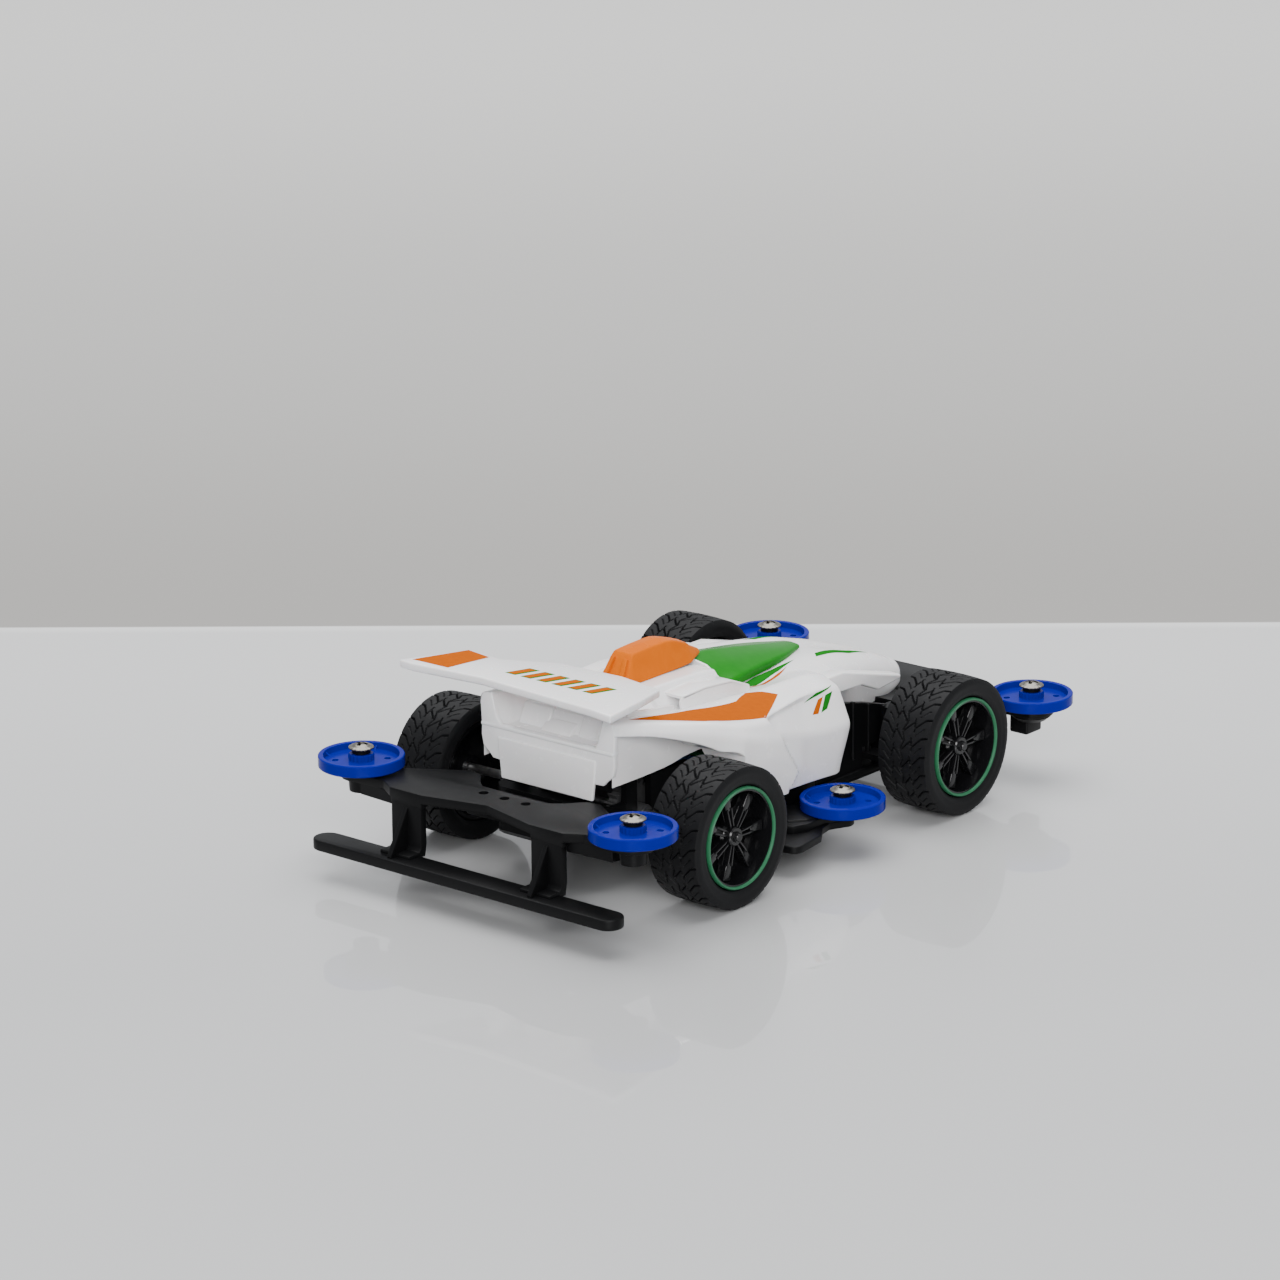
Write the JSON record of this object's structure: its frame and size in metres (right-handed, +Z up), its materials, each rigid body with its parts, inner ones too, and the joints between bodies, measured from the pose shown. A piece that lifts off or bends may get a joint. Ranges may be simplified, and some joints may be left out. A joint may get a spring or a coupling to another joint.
{
  "type": "radio-controlled drift car",
  "caption": "Low open-wheel radio-controlled racing car with a white shell, rear wing, ribbed tyres, blue guide rollers on bumper arms and a rear skid bar.",
  "frame": {"origin": "on the ground under the middle of the car's own box, 1.2 mm behind the midpoint of the axles", "axes": "+Y is the way the car drives, +X is its right side, +Z is up"},
  "size_m": [0.0966, 0.164, 0.0468],
  "materials": {
    "white_abs": "moulded gloss white plastic with printed orange and green shapes",
    "orange_abs": "moulded gloss orange plastic",
    "green_abs": "gloss green, glassy crown",
    "black_nylon": "satin black moulded nylon with a faint grain",
    "tyre_rubber": "matte black rubber with a block tread on the crown",
    "rim_gloss_black": "gloss black, seven split spokes",
    "ring_green_paint": "painted green rim lip",
    "roller_blue": "moulded gloss blue plastic",
    "nickel_steel": "nickel plated screws with a cross recess",
    "axle_steel": "bright drawn steel",
    "gear_nylon": "natural nylon",
    "board_green": "green solder mask",
    "cell_wrap": "printed sleeve on a steel can"
  },
  "bodies": {
    "chassis": {"body_shell": "white_abs", "canopy": "green_abs", "engine_cover": "orange_abs", "rear_wing": "white_abs", "chassis": "black_nylon", "front_bumper": "black_nylon", "rear_bumper": "black_nylon", "side_arm_left": "black_nylon", "side_arm_right": "black_nylon", "axle_bushing_left": "gear_nylon", "axle_bushing_right": "gear_nylon", "motor": "axle_steel", "battery_cell_1": "cell_wrap", "battery_cell_2": "cell_wrap", "circuit_board": "board_green", "steering_servo": "black_nylon", "roller_screw_rear_left": "nickel_steel", "roller_screw_rear_right": "nickel_steel", "roller_screw_side_left": "nickel_steel", "roller_screw_side_right": "nickel_steel", "roller_screw_front_left": "nickel_steel", "roller_screw_front_right": "nickel_steel", "roller_spacer_rear_left": "black_nylon", "roller_spacer_rear_right": "black_nylon", "roller_spacer_side_left": "black_nylon", "roller_spacer_side_right": "black_nylon", "roller_spacer_front_left": "black_nylon", "roller_spacer_front_right": "black_nylon"},
    "rear_wheels": {"rear_axle": "axle_steel", "axle_gear": "gear_nylon", "tyre_rear_left": "tyre_rubber", "tyre_rear_right": "tyre_rubber", "rim_rear_left": "rim_gloss_black", "rim_rear_right": "rim_gloss_black", "rim_ring_rear_left": "ring_green_paint", "rim_ring_rear_right": "ring_green_paint"},
    "motor_pinion": {"pinion": "axle_steel"},
    "tie_rod": {"tie_rod": "black_nylon"},
    "servo_arm": {"servo_arm": "gear_nylon"},
    "battery_door": {"battery_door": "black_nylon"},
    "power_switch": {"power_switch": "gear_nylon"},
    "trim_knob": {"trim_knob": "roller_blue"},
    "knuckle_left": {"steering_knuckle_left": "black_nylon"},
    "front_wheel_left": {"tyre_front_left": "tyre_rubber", "rim_front_left": "rim_gloss_black", "rim_ring_front_left": "ring_green_paint"},
    "knuckle_right": {"steering_knuckle_right": "black_nylon"},
    "front_wheel_right": {"tyre_front_right": "tyre_rubber", "rim_front_right": "rim_gloss_black", "rim_ring_front_right": "ring_green_paint"},
    "roller_rear_left": {"roller_rear_left": "roller_blue"},
    "roller_rear_right": {"roller_rear_right": "roller_blue"},
    "roller_side_left": {"roller_side_left": "roller_blue"},
    "roller_side_right": {"roller_side_right": "roller_blue"},
    "roller_front_left": {"roller_front_left": "roller_blue"},
    "roller_front_right": {"roller_front_right": "roller_blue"}
  },
  "joints": [
    {"name": "rear_axle_spin", "type": "hinge", "parent": "chassis", "child": "rear_wheels", "pos_m": [0, -0.03877, 0.01585], "axis": [1, 0, 0], "continuous": true},
    {"name": "pinion_spin", "type": "hinge", "parent": "chassis", "child": "motor_pinion", "pos_m": [0.0116, -0.02917, 0.01585], "axis": [1, 0, 0], "continuous": true},
    {"name": "tie_rod_slide", "type": "slide", "parent": "chassis", "child": "tie_rod", "axis": [1, 0, 0], "range_m": [-0.0028, 0.0028]},
    {"name": "servo_arm_turn", "type": "hinge", "parent": "chassis", "child": "servo_arm", "pos_m": [0, 0.02523, 0.013], "axis": [0, 0, 1], "range_deg": [-20, 20]},
    {"name": "battery_door_hinge", "type": "hinge", "parent": "chassis", "child": "battery_door", "pos_m": [0, -0.01517, 0.008], "axis": [-1, 0, 0], "range_deg": [0, 80]},
    {"name": "power_switch_slide", "type": "slide", "parent": "chassis", "child": "power_switch", "axis": [0, 1, 0], "range_m": [0, 0.003]},
    {"name": "trim_knob_turn", "type": "hinge", "parent": "chassis", "child": "trim_knob", "pos_m": [0, 0.02523, 0.007], "axis": [0, 0, 1], "range_deg": [-60, 60]},
    {"name": "steer_left", "type": "hinge", "parent": "chassis", "child": "knuckle_left", "pos_m": [-0.027, 0.04122, 0.01585], "axis": [0, 0, 1], "range_deg": [-20, 20]},
    {"name": "front_wheel_spin_left", "type": "hinge", "parent": "knuckle_left", "child": "front_wheel_left", "pos_m": [-0.0368, 0.04122, 0.01585], "axis": [1, 0, 0], "continuous": true},
    {"name": "steer_right", "type": "hinge", "parent": "chassis", "child": "knuckle_right", "pos_m": [0.027, 0.04122, 0.01585], "axis": [0, 0, 1], "range_deg": [-20, 20]},
    {"name": "front_wheel_spin_right", "type": "hinge", "parent": "knuckle_right", "child": "front_wheel_right", "pos_m": [0.0368, 0.04122, 0.01585], "axis": [1, 0, 0], "continuous": true},
    {"name": "roller_spin_rear_left", "type": "hinge", "parent": "chassis", "child": "roller_rear_left", "pos_m": [-0.03875, -0.06902, 0.0245], "axis": [0, 0, 1], "continuous": true},
    {"name": "roller_spin_rear_right", "type": "hinge", "parent": "chassis", "child": "roller_rear_right", "pos_m": [0.03875, -0.06902, 0.0245], "axis": [0, 0, 1], "continuous": true},
    {"name": "roller_spin_side_left", "type": "hinge", "parent": "chassis", "child": "roller_side_left", "pos_m": [-0.03615, 0.00528, 0.0109], "axis": [0, 0, 1], "continuous": true},
    {"name": "roller_spin_side_right", "type": "hinge", "parent": "chassis", "child": "roller_side_right", "pos_m": [0.03615, 0.00528, 0.0109], "axis": [0, 0, 1], "continuous": true},
    {"name": "roller_spin_front_left", "type": "hinge", "parent": "chassis", "child": "roller_front_left", "pos_m": [-0.03845, 0.07253, 0.019], "axis": [0, 0, 1], "continuous": true},
    {"name": "roller_spin_front_right", "type": "hinge", "parent": "chassis", "child": "roller_front_right", "pos_m": [0.03845, 0.07253, 0.019], "axis": [0, 0, 1], "continuous": true}
  ],
  "couplings": [
    {"joint": "pinion_spin", "follows": "rear_axle_spin", "ratio": -2.2},
    {"joint": "steer_right", "follows": "steer_left", "ratio": 1},
    {"joint": "servo_arm_turn", "follows": "steer_left", "ratio": -1},
    {"joint": "tie_rod_slide", "follows": "steer_left", "m_per_rad": 0.00784}
  ]
}
